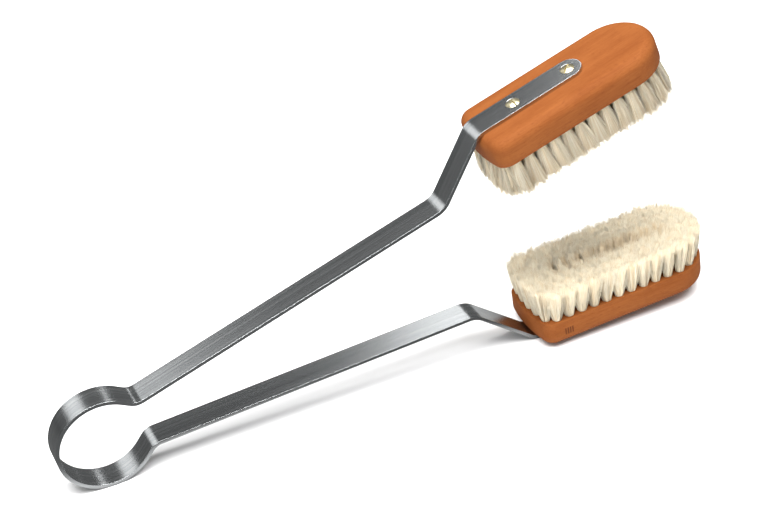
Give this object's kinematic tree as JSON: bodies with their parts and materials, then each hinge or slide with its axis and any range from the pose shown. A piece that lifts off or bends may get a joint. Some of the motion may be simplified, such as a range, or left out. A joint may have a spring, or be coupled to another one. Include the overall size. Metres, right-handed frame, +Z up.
{
  "type": "two-headed tong brush",
  "caption": "Tong-shaped cleaning brush: a bent spring-steel strip with a round loop at one end and a soft hair brush in a wooden block screwed to the end of each arm, facing each other.",
  "frame": {"origin": "on the ground under the middle of the whole brush, as it lies open on its loop and its lower brush", "axes": "+X along the tongs from the loop to the brushes, +Y across the strip, +Z up, from the lower brush to the upper one"},
  "size_m": [0.3688, 0.0476, 0.1631],
  "materials": {
    "spring_steel": "brushed along its length, satin, a little bluish",
    "pear_wood": "fine-grained reddish brown, smooth oiled",
    "hair": "soft cream goat hair",
    "brass": "pale polished brass",
    "staple_wire": "bright drawn flat wire"
  },
  "bodies": {
    "lower_half": {"spring_bow": "spring_steel", "lower_arm": "spring_steel", "lower_block": "pear_wood", "lower_screw_near": "brass", "lower_screw_far": "brass", "lower_outer_tufts": "hair", "lower_middle_tufts": "hair", "lower_inner_tufts": "hair", "lower_outer_staples": "staple_wire", "lower_middle_staples": "staple_wire", "lower_inner_staples": "staple_wire"},
    "upper_half": {"upper_arm": "spring_steel", "upper_block": "pear_wood", "upper_screw_near": "brass", "upper_screw_far": "brass", "upper_outer_tufts": "hair", "upper_middle_tufts": "hair", "upper_inner_tufts": "hair", "upper_outer_staples": "staple_wire", "upper_middle_staples": "staple_wire", "upper_inner_staples": "staple_wire"}
  },
  "joints": [
    {"name": "squeeze", "type": "hinge", "parent": "lower_half", "child": "upper_half", "pos_m": [-0.15878, 0, 0.0256], "axis": [0, 1, 0], "range_deg": [0, 14.8], "stiffness_Nm_per_rad": 14, "springref_deg": -1.03, "deforming": ["spring_bow"]}
  ]
}
